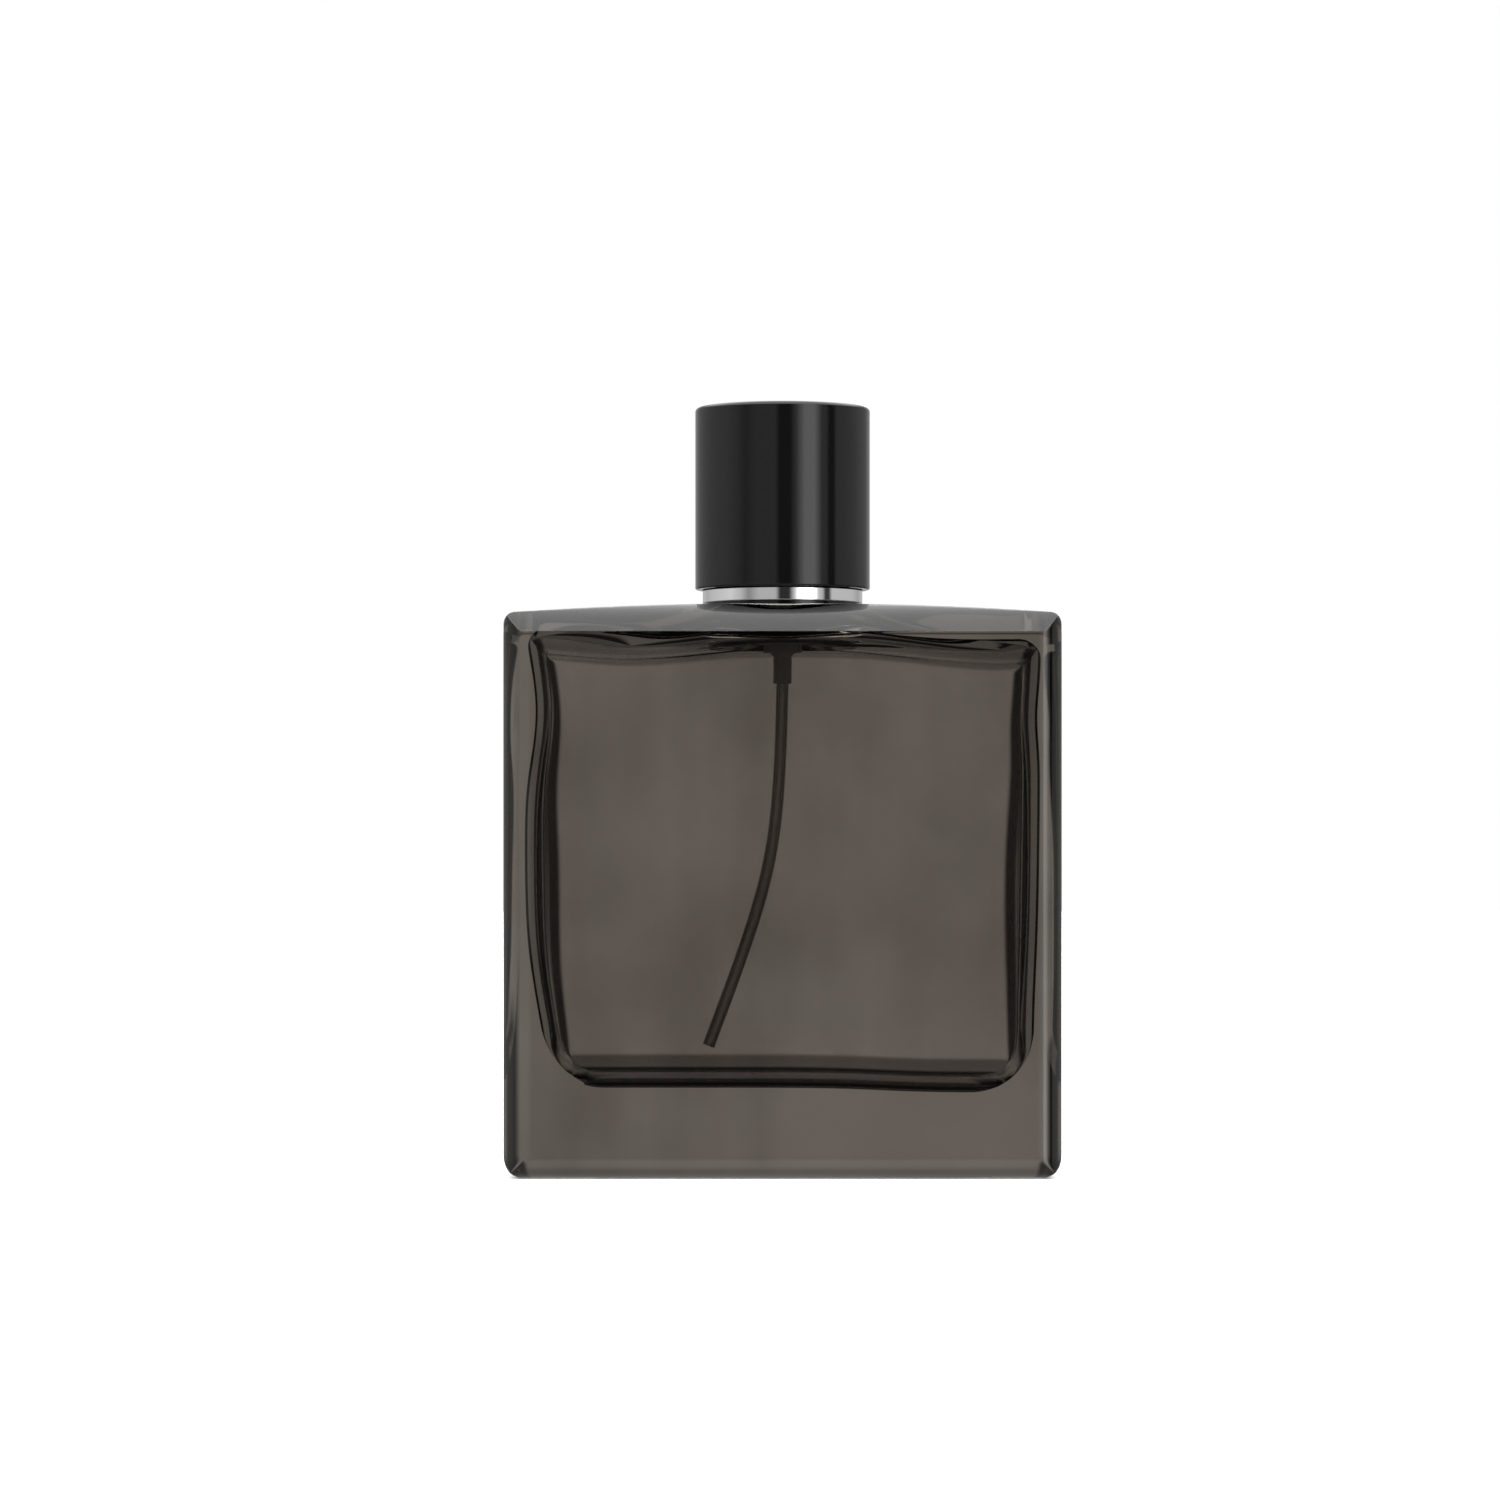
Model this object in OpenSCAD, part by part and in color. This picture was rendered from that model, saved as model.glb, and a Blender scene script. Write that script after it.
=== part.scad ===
// Square glass spray bottle with a crimped mist pump, a two-part collar and a pull-off cap.
// +Z is up, the nozzle looks along -Y, and the origin is the centre of the base. Millimetres.

/* [Glass body] */
// Width of the body
body_w = 80; // [78:0.5:90]
// Depth of the body, front face to back face
body_d = 33; // [32:0.5:40]
// Height of the shoulder at the top of its arch
body_h = 82.45; // [80:0.05:90]
// Radius of the shoulder's long arch
arch_r = 548; // [400:1:900]
// Radius of the upright edges
edge_r = 2.9; // [2:0.1:4]
// Radius of the two upper corners, seen from the front
top_corner_r = 1.9; // [1.5:0.1:3]
// Radius between the shoulder and the front and back faces
shoulder_r = 4.25; // [3:0.05:5]
// Radius round the foot of the body
foot_r = 3.2; // [2:0.1:4]
// Depth of the shallow recess in the base
recess_h = 0.5; // [0.3:0.1:1]

/* [Cavity] */
// Thickness of the front and back walls
wall_t = 3.5; // [3:0.1:4.5]
// Thickness of the side walls where the cavity is widest
side_t = 3.3; // [3:0.1:6]
// Thickness of the glass under the cavity
floor_t = 12.5; // [8:0.1:16]
// Thickness of the shoulder over the cavity
ceiling_t = 4.2; // [4:0.1:6]
// Radius of the bowed side walls of the cavity
side_bow_r = 240; // [200:1:600]
// Radius of the cavity's lower corners, seen from the front
cavity_corner_r = 9.5; // [6:0.1:12]
// Radius of the cavity's upright edges and of its floor's long edges
cavity_edge_r = 3; // [2:0.1:4]
// Radius between the cavity's roof and its front and back walls
roof_edge_r = 4.5; // [3:0.1:5]

/* [Neck] */
// Height of the neck over the shoulder
neck_h = 7.85; // [7.5:0.05:9]
// Diameter of the neck under its bead
neck_d = 13; // [12.6:0.1:13.2]
// Diameter of the bead that the ferrule grips
bead_d = 15; // [15:0.1:15.2]
// Height of the bead
bead_h = 3.5; // [3:0.1:3.8]
// Diameter of the bore
bore_d = 9.6; // [9.2:0.1:10]

/* [Cap and collar] */
// Outer diameter of the cap
cap_d = 25.5; // [25:0.1:28]
// Height of the cap
cap_h = 26.5; // [26:0.1:30]
// Radius of the cap's top edge
cap_edge_r = 0.6; // [0.4:0.1:1.5]
// Diameter of the silver collar ring
ring_d = 23.3; // [22.6:0.1:23.3]
// Visible height of the silver collar ring
ring_h = 1.95; // [1.5:0.05:2.5]
// Diameter of the black collar base
base_ring_d = 22.35; // [21.5:0.05:22.5]
// Visible height of the black collar base
base_ring_h = 0.45; // [0.4:0.05:0.8]

/* [Pump] */
// Travel of the spray button
travel = 3.6; // [3:0.1:3.8]
// Diameter of the spray button
actuator_d = 13.4; // [13:0.1:13.8]
// Height of the spray button's metal skin
actuator_h = 10; // [9.5:0.1:10]
// Outer diameter of the dip tube
tube_d = 1.8; // [1.6:0.1:2]
// Inner diameter of the dip tube
tube_bore_d = 1; // [0.8:0.1:1.2]
// Sideways run of the dip tube for each unit of height, below its bend
tube_slope = 0.4; // [0.1:0.005:0.42]
// Height of the middle of the dip tube's bend
tube_bend_z = 45.5; // [40:0.1:55]
// Length that the dip tube's bend is spread over
tube_bend_l = 12.5; // [2:0.5:14]
// Height of the dip tube's open foot
tube_foot_z = 18.5; // [17.5:0.1:24]

/* [Hidden] */
$fn = 96;

eps = 0.01;
run_gap = 0.05;      // radial clearance of a part that slides or turns in another
rest_gap = 0.1;      // gap between moving parts that meet at rest

// Body: the upper corners are tangent to the shoulder's arch
arch_z = body_h - arch_r;
corner_x = body_w / 2 - top_corner_r;
corner_z = arch_z + sqrt(pow(arch_r - top_corner_r, 2) - pow(corner_x, 2));
tangent_x = corner_x * arch_r / (arch_r - top_corner_r);
recess_margin = 9;   // rim of glass left round the recess
recess_w = body_w - 2 * recess_margin;
recess_d = body_d - 2 * recess_margin + 1;
recess_r = 5;

// Cavity
cavity_w = body_w - 2 * side_t;
cavity_d = body_d - 2 * wall_t;
ceiling_z = body_h - ceiling_t;
widest_z = (floor_t + ceiling_z) / 2 + 4.5;
throat_d = 14;
throat_h = 2.2;

// Heights up the neck
bead_z = body_h + neck_h - bead_h;
neck_top = body_h + neck_h;
bead_edge_r = 0.6;
gasket_t = 1;
flange_z = neck_top + gasket_t;
flange_t = 1;
flange_top = flange_z + flange_t;
flange_d = 14.4;

// Ferrule
ferrule_t = 0.4;
ferrule_d = bead_d + 1;
lip_z = bead_z - rest_gap - ferrule_t;
lip_gap = 0.4;       // between the ferrule's turned-in lip and the neck
turret_d = 9.8;
turret_top = flange_top + 3.3;
stem_hole_d = 3.8;

// Pump barrel, measured down from its flange
barrel_d = 8.6;
barrel_z = flange_z - 10.3;
bore_z = flange_z - 9.3;
bore_r = 3;
chamber_d = 5.6;
chamber_z = flange_z - 14.2;
chamber_r = 1.95;
chamber_floor_z = flange_z - 13.3;
cone_d = 3.9;
cone_h = 1.6;
socket_d = 2.65;
socket_z = flange_z - 20;
inlet_r = 0.55;
seat_h = 0.45;
seat_z = chamber_floor_z - seat_h;
tube_top = seat_z - 1.5;
tube_sides = 16;
tube_step = 2;

// Inlet valve: the ball hangs a hair over a 45 degree seat
ball_r = 0.8;
ball_lift = 0.5;
ball_gap = 0.03;
ball_z = seat_z - inlet_r + (ball_r + ball_gap) * sqrt(2);
cage_h = 2.1;
cage_bar_h = 0.5;
cage_bar_w = 0.6;
cage_gap = 0.3;      // round the ball
cage_top = chamber_floor_z + cage_h;

// Piston and stem
piston_h = 2.4;
piston_z = flange_z - 4.9;
piston_floor = 0.6;
outlet_r = 0.4;
stem_r = 1.6;
stem_z = piston_z + piston_floor;
stem_top = flange_z + 11.7;
valve_room_r = 1;
valve_room_h = 4.5;
passage_r = 0.5;
closure_z = flange_z - 1.7;
closure_d = 8.8;

// Outlet valve
poppet_r = 0.8;
poppet_head_h = 0.5;
poppet_pin_r = 0.4;
poppet_pin_h = 1.7;
poppet_z = stem_z + rest_gap;

// Springs
spring_wire = 0.4;
spring_r = 1.5;
spring_turns = 5;
valve_wire = 0.2;
valve_spring_r = 0.65;
valve_turns = 7;
wire_sides = 8;
steps_per_turn = 16;

// Collar: the black base snaps over the ferrule and the silver ring is pressed on it
collar_z = body_h + run_gap;
ring_z = collar_z + base_ring_h;
ring_top = ring_z + ring_h;
base_lip_h = 0.6;
base_top = flange_top + ferrule_t + rest_gap + base_lip_h;
skin_roof = 0.6;
collar_top = base_top + skin_roof;
sleeve_r = ferrule_d / 2 + rest_gap;
sleeve_t = 0.9;
skin_t = 0.7;
collar_mouth_r = actuator_d / 2 + 0.5;
snap_h = 0.7;
snap_reach = 0.8;    // of the snap bead, in from the sleeve
skin_edge_r = 0.4;

// Spray button
skin = 0.4;
actuator_z = flange_top + travel + 0.9;
actuator_core_d = actuator_d - 2 * skin;
shell_z = actuator_z + 0.2;
shell_top = shell_z + actuator_h;
core_top = shell_top - 0.6;
skirt_r = 5.3;
skirt_h = 3;
nozzle_r = 1.5;
nozzle_z = stem_top + 1;
nozzle_l = 2.9;
dish_r = 30;
dish_h = 0.35;
shell_edge_r = 0.8;
nozzle_cup_r = 0.9;  // swirl chamber behind the nozzle's face
nozzle_face_t = 0.4;
spray_hole_r = 0.15;
spray_cone_r = 0.8;
window_gap = 0.2;    // round the nozzle, in the metal skin

// Cap
cap_z = ring_top + rest_gap;
cap_top = cap_z + cap_h;
cap_wall = 1.1;
cap_roof = 1.6;
liner_wall = 1;
liner_roof = 1.4;
liner_top = cap_top - cap_roof;
grip_gap = 0.08;     // the cap's friction fit on the collar
grip_r = sleeve_r + sleeve_t + skin_t + grip_gap;
grip_h = 10.5;
room_r = 10.2;
ribs = 8;
rib_t = 0.8;
rim_h = 1.2;

// ---------- shared shapes ----------

// A flat rectangle with round corners, centred
module rounded_rect(w, d, r) {
    square([w - 2 * r, d], center = true);
    square([w, d - 2 * r], center = true);
    for (x = [-1, 1], y = [-1, 1])
        translate([x * (w / 2 - r), y * (d / 2 - r)]) circle(r = r);
}

// An upright rectangle from low to high, with one corner radius below and one above
module upright_rect(w, low, high, r_low, r_high) {
    translate([r_low - w / 2, low]) square([w - 2 * r_low, high - r_high - low]);
    translate([-w / 2, low + r_low]) square([w, high - r_high - low - r_low]);
    translate([r_high - w / 2, low + r_low]) square([w - 2 * r_high, high - low - r_low]);
    for (x = [-1, 1]) {
        translate([x * (w / 2 - r_low), low + r_low]) circle(r = r_low);
        translate([x * (w / 2 - r_high), high - r_high]) circle(r = r_high);
    }
}

// Carries an outline drawn in X and Z through the depth
module through_depth(d) {
    rotate([90, 0, 0]) linear_extrude(height = d, center = true) children();
}

// Carries an outline drawn in Y and Z across the width
module across_width(w) {
    rotate([90, 0, 90]) linear_extrude(height = w, center = true) children();
}

// A disc or tube on the Z axis that starts at z
module ring(z, h, r, hole = 0) {
    translate([0, 0, z]) difference() {
        cylinder(h = h, r = r);
        if (hole > 0) translate([0, 0, -1]) cylinder(h = h + 2, r = hole);
    }
}

// A half outline in radius and height with its upper outer corner rounded, turned about Z
module round_topped(z, h, r, edge) {
    translate([0, 0, z]) rotate_extrude() {
        square([r - edge, h]);
        square([r, h - edge]);
        intersection() {
            translate([r - edge, h - edge]) circle(r = edge);
            square([r, h]);
        }
    }
}

// One point of a closed-end coil: its first and last turns lie flat, a wire apart
function coil_height(t, turns, wire, free) =
    let (open = turns - 2, pitch = (free - 3 * wire) / open)
    t < 1 ? t * wire
    : t > turns - 1 ? free - wire - (turns - t) * wire
    : wire + (t - 1) * pitch;

// A compression spring of round wire that stands on z
module coil(z, free, r, wire, turns) {
    steps = turns * steps_per_turn;
    points = [
        for (i = [0:steps], k = [0:wire_sides - 1])
            let (
                turn = i / steps_per_turn,
                a = 360 * turn,
                b = 360 * k / wire_sides,
                reach = r + wire / 2 * cos(b)
            )
            [
                reach * cos(a),
                reach * sin(a),
                z + wire / 2 + coil_height(turn, turns, wire, free) + wire / 2 * sin(b)
            ]
    ];
    sides = [
        for (i = [0:steps - 1], k = [0:wire_sides - 1])
            let (n = (k + 1) % wire_sides, a = i * wire_sides, b = a + wire_sides)
            [a + k, a + n, b + n, b + k]
    ];
    first = [for (k = [wire_sides - 1:-1:0]) k];
    last = [for (k = [0:wire_sides - 1]) steps * wire_sides + k];
    polyhedron(points = points, faces = concat(sides, [first, last]), convexity = 10);
}

// ---------- glass ----------

module body_front() {
    translate([foot_r - body_w / 2, 0]) square([body_w - 2 * foot_r, corner_z]);
    translate([-body_w / 2, foot_r]) square([body_w, corner_z - foot_r]);
    for (x = [-1, 1]) {
        translate([x * (body_w / 2 - foot_r), foot_r]) circle(r = foot_r);
        translate([x * corner_x, corner_z]) circle(r = top_corner_r);
    }
    intersection() {
        translate([-tangent_x, foot_r]) square([2 * tangent_x, body_h]);
        translate([0, arch_z]) circle(r = arch_r);
    }
}

module body_solid() {
    intersection() {
        linear_extrude(height = body_h + 1) rounded_rect(body_w, body_d, edge_r);
        through_depth(body_d + 2) body_front();
        across_width(body_w + 2) upright_rect(body_d, 0, body_h, foot_r, shoulder_r);
    }
}

module cavity_front() {
    intersection() {
        upright_rect(cavity_w, floor_t, ceiling_z, cavity_corner_r, cavity_edge_r);
        translate([cavity_w / 2 - side_bow_r, widest_z]) circle(r = side_bow_r);
        translate([side_bow_r - cavity_w / 2, widest_z]) circle(r = side_bow_r);
    }
}

module cavity_solid() {
    intersection() {
        linear_extrude(height = body_h) rounded_rect(cavity_w, cavity_d, cavity_edge_r);
        through_depth(cavity_d + 2) cavity_front();
        across_width(cavity_w + 2)
            upright_rect(cavity_d, floor_t, ceiling_z, cavity_edge_r, roof_edge_r);
    }
}

module glass_bottle() {
    color([0.30, 0.28, 0.26, 0.6]) difference() {
        union() {
            body_solid();
            ring(body_h - 2, neck_h + 2, neck_d / 2);
            round_topped(bead_z, bead_h, bead_d / 2, bead_edge_r);
        }
        cavity_solid();
        translate([0, 0, ceiling_z - eps])
            cylinder(h = throat_h, d1 = throat_d, d2 = bore_d);
        ring(ceiling_z + 1, body_h, bore_d / 2);
        translate([0, 0, -1]) linear_extrude(height = recess_h + 1)
            rounded_rect(recess_w, recess_d, recess_r);
    }
}

// ---------- pump ----------

module neck_gasket() {
    color([0.85, 0.85, 0.83]) ring(neck_top, gasket_t, flange_d / 2, bore_d / 2);
}

module crimp_ferrule() {
    r = ferrule_d / 2;
    color([0.80, 0.80, 0.82]) {
        ring(lip_z, flange_top + ferrule_t - lip_z, r, r - ferrule_t);
        ring(lip_z, ferrule_t, r - ferrule_t / 2, neck_d / 2 + lip_gap);
        ring(flange_top, ferrule_t, r - ferrule_t / 2, turret_d / 2 - ferrule_t);
        ring(flange_top, turret_top - flange_top, turret_d / 2, turret_d / 2 - ferrule_t);
        ring(turret_top - ferrule_t, ferrule_t, turret_d / 2 - ferrule_t / 2, stem_hole_d / 2);
    }
}

module pump_housing() {
    color([0.75, 0.75, 0.72]) difference() {
        union() {
            ring(flange_z, flange_t, flange_d / 2);
            ring(barrel_z, flange_z - barrel_z + flange_t / 2, barrel_d / 2);
            ring(chamber_z, barrel_z - chamber_z + flange_t / 2, chamber_d / 2);
            translate([0, 0, chamber_z - cone_h])
                cylinder(h = cone_h + eps, d1 = socket_d, d2 = cone_d);
            ring(socket_z, chamber_z - socket_z, socket_d / 2);
        }
        ring(bore_z, flange_top, bore_r);
        ring(chamber_floor_z, flange_top, chamber_r);
        translate([0, 0, seat_z]) cylinder(h = seat_h + eps, r1 = inlet_r, r2 = inlet_r + seat_h + eps);
        ring(tube_top - eps, seat_z - tube_top + 2 * eps, inlet_r);
        ring(socket_z - 1, tube_top - socket_z + 1, tube_d / 2);
    }
}

module pump_closure() {
    color([0.90, 0.90, 0.88]) difference() {
        union() {
            ring(closure_z, flange_top - closure_z + 1, bore_r);
            ring(flange_top, turret_top - ferrule_t - flange_top, closure_d / 2);
        }
        ring(closure_z - 1, turret_top, stem_r + run_gap);
    }
}

module stem_gasket() {
    color([0.15, 0.15, 0.15])
        ring(piston_z + piston_h + rest_gap, closure_z - piston_z - piston_h - rest_gap,
             bore_r, stem_r + run_gap);
}

module piston() {
    color([0.92, 0.92, 0.90]) difference() {
        ring(piston_z, piston_h, bore_r - run_gap);
        ring(stem_z, piston_h, stem_r);
        ring(piston_z - 1, piston_h, outlet_r);
    }
}

module stem() {
    color([0.93, 0.93, 0.92]) difference() {
        ring(stem_z, stem_top - stem_z, stem_r);
        ring(stem_z - 1, valve_room_h + 1, valve_room_r);
        ring(stem_z, stem_top, passage_r);
    }
}

module outlet_poppet() {
    color([0.85, 0.86, 0.88]) {
        translate([0, 0, poppet_z - poppet_head_h])
            cylinder(h = poppet_head_h + eps, r1 = outlet_r / 2, r2 = outlet_r - run_gap);
        ring(poppet_z, poppet_head_h, poppet_r);
        ring(poppet_z, poppet_head_h + poppet_pin_h, poppet_pin_r);
    }
}

module poppet_spring() {
    low = poppet_z + poppet_head_h + eps;
    color([0.70, 0.70, 0.72])
        coil(low, stem_z + valve_room_h - low - eps, valve_spring_r, valve_wire, valve_turns);
}

module return_spring() {
    low = cage_top + eps;
    color([0.70, 0.70, 0.72])
        coil(low, piston_z - low - eps, spring_r, spring_wire, spring_turns);
}

module ball_cage() {
    color([0.88, 0.88, 0.86]) {
        ring(chamber_floor_z, cage_h, chamber_r, ball_r + cage_gap);
        translate([0, 0, cage_top - cage_bar_h / 2])
            cube([2 * (ball_r + 2 * cage_gap), cage_bar_w, cage_bar_h], center = true);
    }
}

module inlet_ball() {
    color([0.75, 0.75, 0.77]) translate([0, 0, ball_z]) sphere(r = ball_r);
}

// Sideways place of the tube at height z: a hyperbola, upright above the bend and leaning below it
function bend_at(z) =
    -tube_slope / 2 * (tube_bend_z - z + sqrt(pow(tube_bend_z - z, 2) + pow(tube_bend_l, 2)));
function tube_x(z) = z > socket_z ? 0 : bend_at(z) - bend_at(socket_z);
function tube_lean(z) =
    z > socket_z ? 0
    : atan(tube_slope / 2 * (1 + (tube_bend_z - z) / sqrt(pow(tube_bend_z - z, 2) + pow(tube_bend_l, 2))));

// One ring of points round the tube at height z, square to its course
function tube_ring(z, r) =
    let (a = tube_lean(z))
    [
        for (k = [0:tube_sides - 1])
            let (b = 360 * k / tube_sides)
            [tube_x(z) + r * cos(b) * cos(a), r * sin(b), z - r * cos(b) * sin(a)]
    ];

// The wall between two rings of points, as faces that look out, or in if flip is true
function tube_faces(steps, start, flip) = [
    for (i = [0:steps - 1], k = [0:tube_sides - 1])
        let (
            n = (k + 1) % tube_sides,
            a = start + i * tube_sides,
            b = a + tube_sides,
            quad = [a + k, a + n, b + n, b + k]
        )
        flip ? [quad[3], quad[2], quad[1], quad[0]] : quad
];

module dip_tube() {
    steps = ceil((tube_top - tube_foot_z) / tube_step);
    heights = [for (i = [0:steps]) tube_top - (tube_top - tube_foot_z) * i / steps];
    outer = [for (z = heights) each tube_ring(z, tube_d / 2)];
    inner = [for (z = heights) each tube_ring(z, tube_bore_d / 2)];
    n = len(outer);
    last = steps * tube_sides;
    rims = [
        for (k = [0:tube_sides - 1])
            let (m = (k + 1) % tube_sides)
            each [
                [k, n + k, n + m, m],
                [last + k, last + m, n + last + m, n + last + k]
            ]
    ];
    color([0.80, 0.80, 0.78, 0.7])
        polyhedron(
            points = concat(outer, inner),
            faces = concat(tube_faces(steps, 0, false), tube_faces(steps, n, true), rims),
            convexity = 6
        );
}

// ---------- collar ----------

module collar_base() {
    outer = sleeve_r + sleeve_t;
    color([0.05, 0.05, 0.05]) {
        ring(collar_z, base_ring_h, base_ring_d / 2, sleeve_r);
        ring(collar_z, base_top - collar_z, outer, sleeve_r);
        ring(lip_z - rest_gap - snap_h, snap_h, outer - sleeve_t / 2, sleeve_r - snap_reach);
        ring(base_top - base_lip_h, base_lip_h, outer - sleeve_t / 2, collar_mouth_r);
    }
}

module collar_ring() {
    inner = sleeve_r + sleeve_t;
    color([0.85, 0.85, 0.86]) {
        ring(ring_z, ring_h, ring_d / 2, inner);
        ring(ring_z, base_top - ring_z + eps, inner + skin_t, inner);
        difference() {
            round_topped(base_top, skin_roof, inner + skin_t, skin_edge_r);
            ring(base_top - 1, skin_roof + 2, collar_mouth_r);
        }
    }
}

// ---------- spray button ----------

module actuator_body() {
    color([0.10, 0.10, 0.10]) difference() {
        ring(actuator_z, core_top - actuator_z, actuator_core_d / 2);
        ring(actuator_z - 1, skirt_h + 1, skirt_r);
        ring(actuator_z, stem_top + rest_gap - actuator_z, stem_r + run_gap);
        ring(stem_top, nozzle_z - stem_top, passage_r);
        translate([0, 0, nozzle_z]) rotate([90, 0, 0]) cylinder(h = actuator_d, r = passage_r);
        translate([0, nozzle_l - actuator_core_d / 2, nozzle_z])
            rotate([90, 0, 0]) cylinder(h = actuator_d, r = nozzle_r);
    }
}

module actuator_shell() {
    color([0.85, 0.85, 0.86]) difference() {
        round_topped(shell_z, actuator_h, actuator_d / 2, shell_edge_r);
        ring(shell_z - 1, core_top - shell_z + 1, actuator_core_d / 2);
        translate([0, 0, shell_top - dish_h + dish_r]) sphere(r = dish_r, $fn = 192);
        translate([0, 0, nozzle_z]) rotate([90, 0, 0]) cylinder(h = actuator_d, r = nozzle_r + window_gap);
    }
}

module nozzle_insert() {
    color([0.95, 0.95, 0.95])
        translate([0, nozzle_l - actuator_core_d / 2, nozzle_z]) rotate([90, 0, 0]) difference() {
            cylinder(h = nozzle_l + window_gap, r = nozzle_r);
            translate([0, 0, -1])
                cylinder(h = nozzle_l + window_gap - nozzle_face_t + 1, r = nozzle_cup_r);
            cylinder(h = nozzle_l + 2, r = spray_hole_r);
            translate([0, 0, nozzle_l - window_gap / 2])
                cylinder(h = nozzle_face_t + eps, r1 = spray_hole_r, r2 = spray_cone_r);
        }
}

// ---------- cap ----------

module cap_shell() {
    color([0.03, 0.03, 0.03]) difference() {
        round_topped(cap_z, cap_h, cap_d / 2, cap_edge_r);
        ring(cap_z - 1, cap_h - cap_roof + 1, cap_d / 2 - cap_wall);
    }
}

module cap_liner() {
    outer = cap_d / 2 - cap_wall;
    color([0.12, 0.12, 0.12]) difference() {
        union() {
            ring(cap_z, rim_h, outer);
            ring(cap_z, liner_top - cap_z, room_r + liner_wall);
            ring(liner_top - liner_roof, liner_roof, outer);
            for (i = [0:ribs - 1])
                rotate([0, 0, 360 * i / ribs]) translate([room_r, -rib_t / 2, cap_z])
                    cube([outer - room_r - rest_gap, rib_t, liner_top - cap_z]);
        }
        ring(cap_z - 1, grip_h + 2, grip_r);
        ring(cap_z + grip_h, liner_top - liner_roof - cap_z - grip_h, room_r);
    }
}

glass_bottle();
neck_gasket();
crimp_ferrule();
pump_housing();
pump_closure();
stem_gasket();
stem();
piston();
outlet_poppet();
poppet_spring();
return_spring();
ball_cage();
inlet_ball();
dip_tube();
collar_base();
collar_ring();
actuator_body();
actuator_shell();
nozzle_insert();
cap_shell();
cap_liner();
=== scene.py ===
from math import cos, pi, radians, sin

import bpy
import numpy as np
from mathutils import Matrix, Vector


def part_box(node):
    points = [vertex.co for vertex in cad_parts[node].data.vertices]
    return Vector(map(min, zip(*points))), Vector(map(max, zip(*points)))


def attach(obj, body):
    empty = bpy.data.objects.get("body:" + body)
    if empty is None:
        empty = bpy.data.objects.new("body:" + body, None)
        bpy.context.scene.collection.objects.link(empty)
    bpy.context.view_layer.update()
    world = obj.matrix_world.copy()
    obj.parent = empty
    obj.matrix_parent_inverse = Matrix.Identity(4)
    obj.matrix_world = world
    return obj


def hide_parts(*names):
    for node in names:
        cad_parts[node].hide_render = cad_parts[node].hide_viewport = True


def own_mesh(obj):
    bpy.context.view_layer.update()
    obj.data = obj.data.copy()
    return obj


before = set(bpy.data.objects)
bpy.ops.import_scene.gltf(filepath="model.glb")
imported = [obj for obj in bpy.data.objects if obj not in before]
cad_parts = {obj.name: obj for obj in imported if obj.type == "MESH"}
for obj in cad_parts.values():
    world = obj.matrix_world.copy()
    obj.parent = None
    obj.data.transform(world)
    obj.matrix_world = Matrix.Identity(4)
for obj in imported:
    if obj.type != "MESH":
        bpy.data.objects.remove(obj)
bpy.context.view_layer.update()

# The looks of a square smoke-glass spray bottle. Sizes below are millimetres; meshes are made in metres.
MM = 0.001


def node_box(node):
    """Lowest and highest corner of a CAD node, in millimetres."""
    low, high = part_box(node)
    return np.array(low) / MM, np.array(high) / MM


# ---------- sizes ----------

_, bottle_high = node_box("glass_bottle")
body_a, body_b = bottle_high[0], bottle_high[1]
neck_top = bottle_high[2]
neck_h = 7.85
body_h = neck_top - neck_h
arch_r = 548
edge_r = 2.9
edge_kink = radians(12)
shoulder_kink = radians(22)
top_corner_r = 1.9
shoulder_r = 4.25
# The top corners' rounding is a circle that touches the side and, from inside, the shoulder's arch.
# corner_z is the height of its centre, where the rounding starts.
arch_share = np.sqrt((arch_r - top_corner_r) ** 2 - (body_a - top_corner_r) ** 2)
corner_z = round(body_h - arch_r + arch_share, 3)
last_cut_z = 81.1  # the highest level cut of the body, above which the rows run in to the neck
foot_r = 3.2
recess = (31, 8, 5, 0.5)  # half width, half depth, corner radius and depth of the recess in the base
neck_r, bead_r, bore_r = 6.5, 7.5, 4.8
bead_h = 3.5
neck_fillet = 0.8
soft_r, lip_r = 0.4, 0.6  # roundings of the bead and the mouth, and of the lip's outer edge
past_arc = 0.1  # from an arc's end to the next point, so that what follows shades flat

wall_t = 3.5
floor_z = 12.5
roof_z = 78.9
cavity_a = 36.9
cavity_b = body_b - wall_t
cavity_edge_r = 3
throat_top = 80.9
funnel_r = 7.4
roof_end_r, roof_side_r = 3, 4.5  # roundings of the cavity's roof, at its two ends and front and back
floor_end_r, floor_front_r, floor_back_r = 9.5, 3, 4.6
roof_reach = 2.9  # how far up the roof's rounding the level cuts go
floor_rest = 0.9  # how far above the floor they stop
# Each wave is a depth, the place of its middle and its spread.
left_waves = ((1.5, 67, 9), (3.0, 14, 14))
right_waves = ((0.4, 66, 5), (0.8, 18, 16))
roof_waves = ((1.3, -22, 11), (1.9, 31, 14))
back_waist = ((0.045, 42, 20),)  # its depth is a share of the half width
floor_step, floor_step_x, floor_step_w = 0.35, 14, 8

cap_low, cap_high = node_box("cap_shell")
ring_low, ring_high = node_box("collar_ring")
_, tube_high = node_box("dip_tube")


# ---------- meshes ----------

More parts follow.
